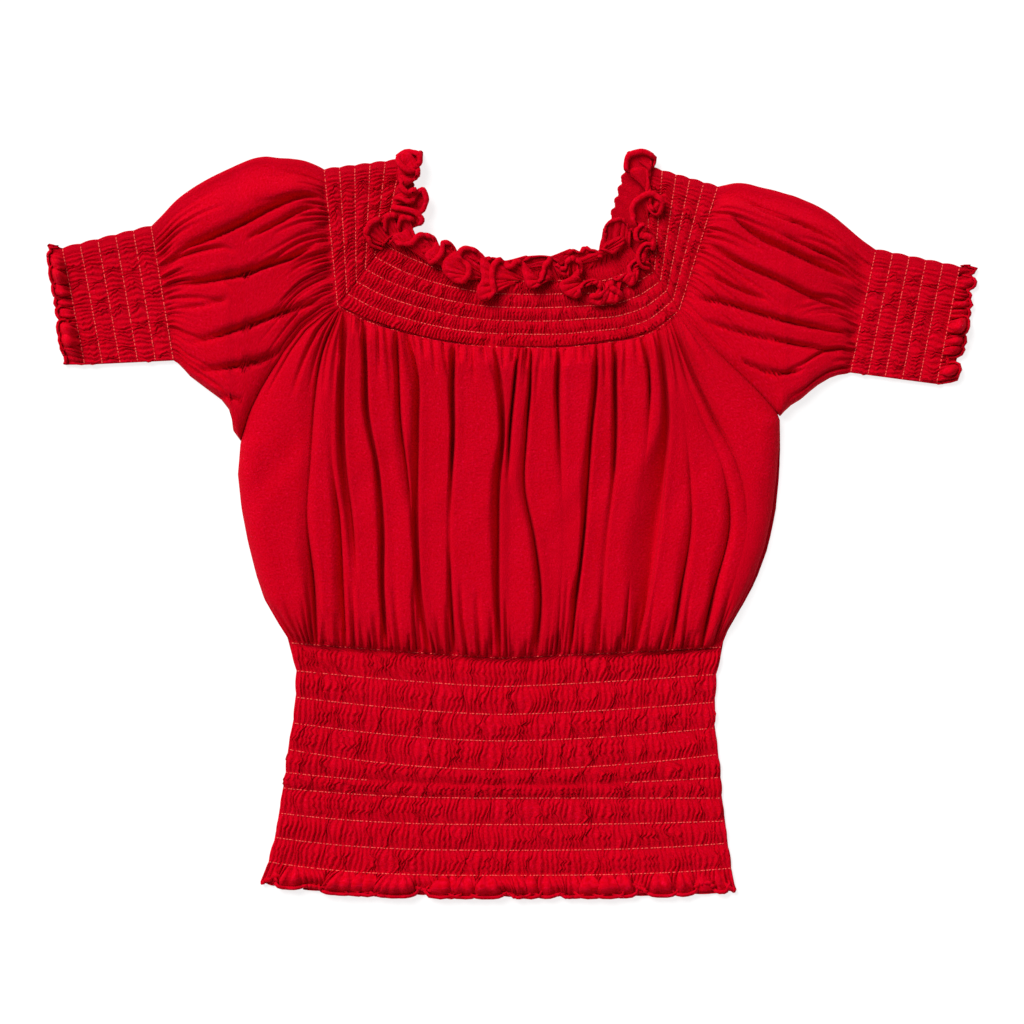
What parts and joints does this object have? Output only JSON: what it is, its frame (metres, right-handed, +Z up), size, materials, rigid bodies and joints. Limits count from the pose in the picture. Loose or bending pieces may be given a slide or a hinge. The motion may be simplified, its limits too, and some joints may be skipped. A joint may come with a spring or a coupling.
{
  "type": "peasant blouse",
  "caption": "Red off-shoulder peasant blouse laid flat, with puff sleeves, a shirred neck, waist and cuffs, and ruffled edges.",
  "frame": {"origin": "on the surface it lies on, below the middle of its outline", "axes": "+X towards the wearer's left cuff, +Y from the hem towards the neck, +Z up out of the front"},
  "size_m": [0.646, 0.516, 0.0112],
  "materials": {
    "cloth": "matte woven, red",
    "thread": "satin sewing thread, coral red"
  },
  "bodies": {
    "root": {"front": "cloth", "back": "cloth", "right_sleeve": "cloth", "left_sleeve": "cloth"}
  },
  "joints": []
}
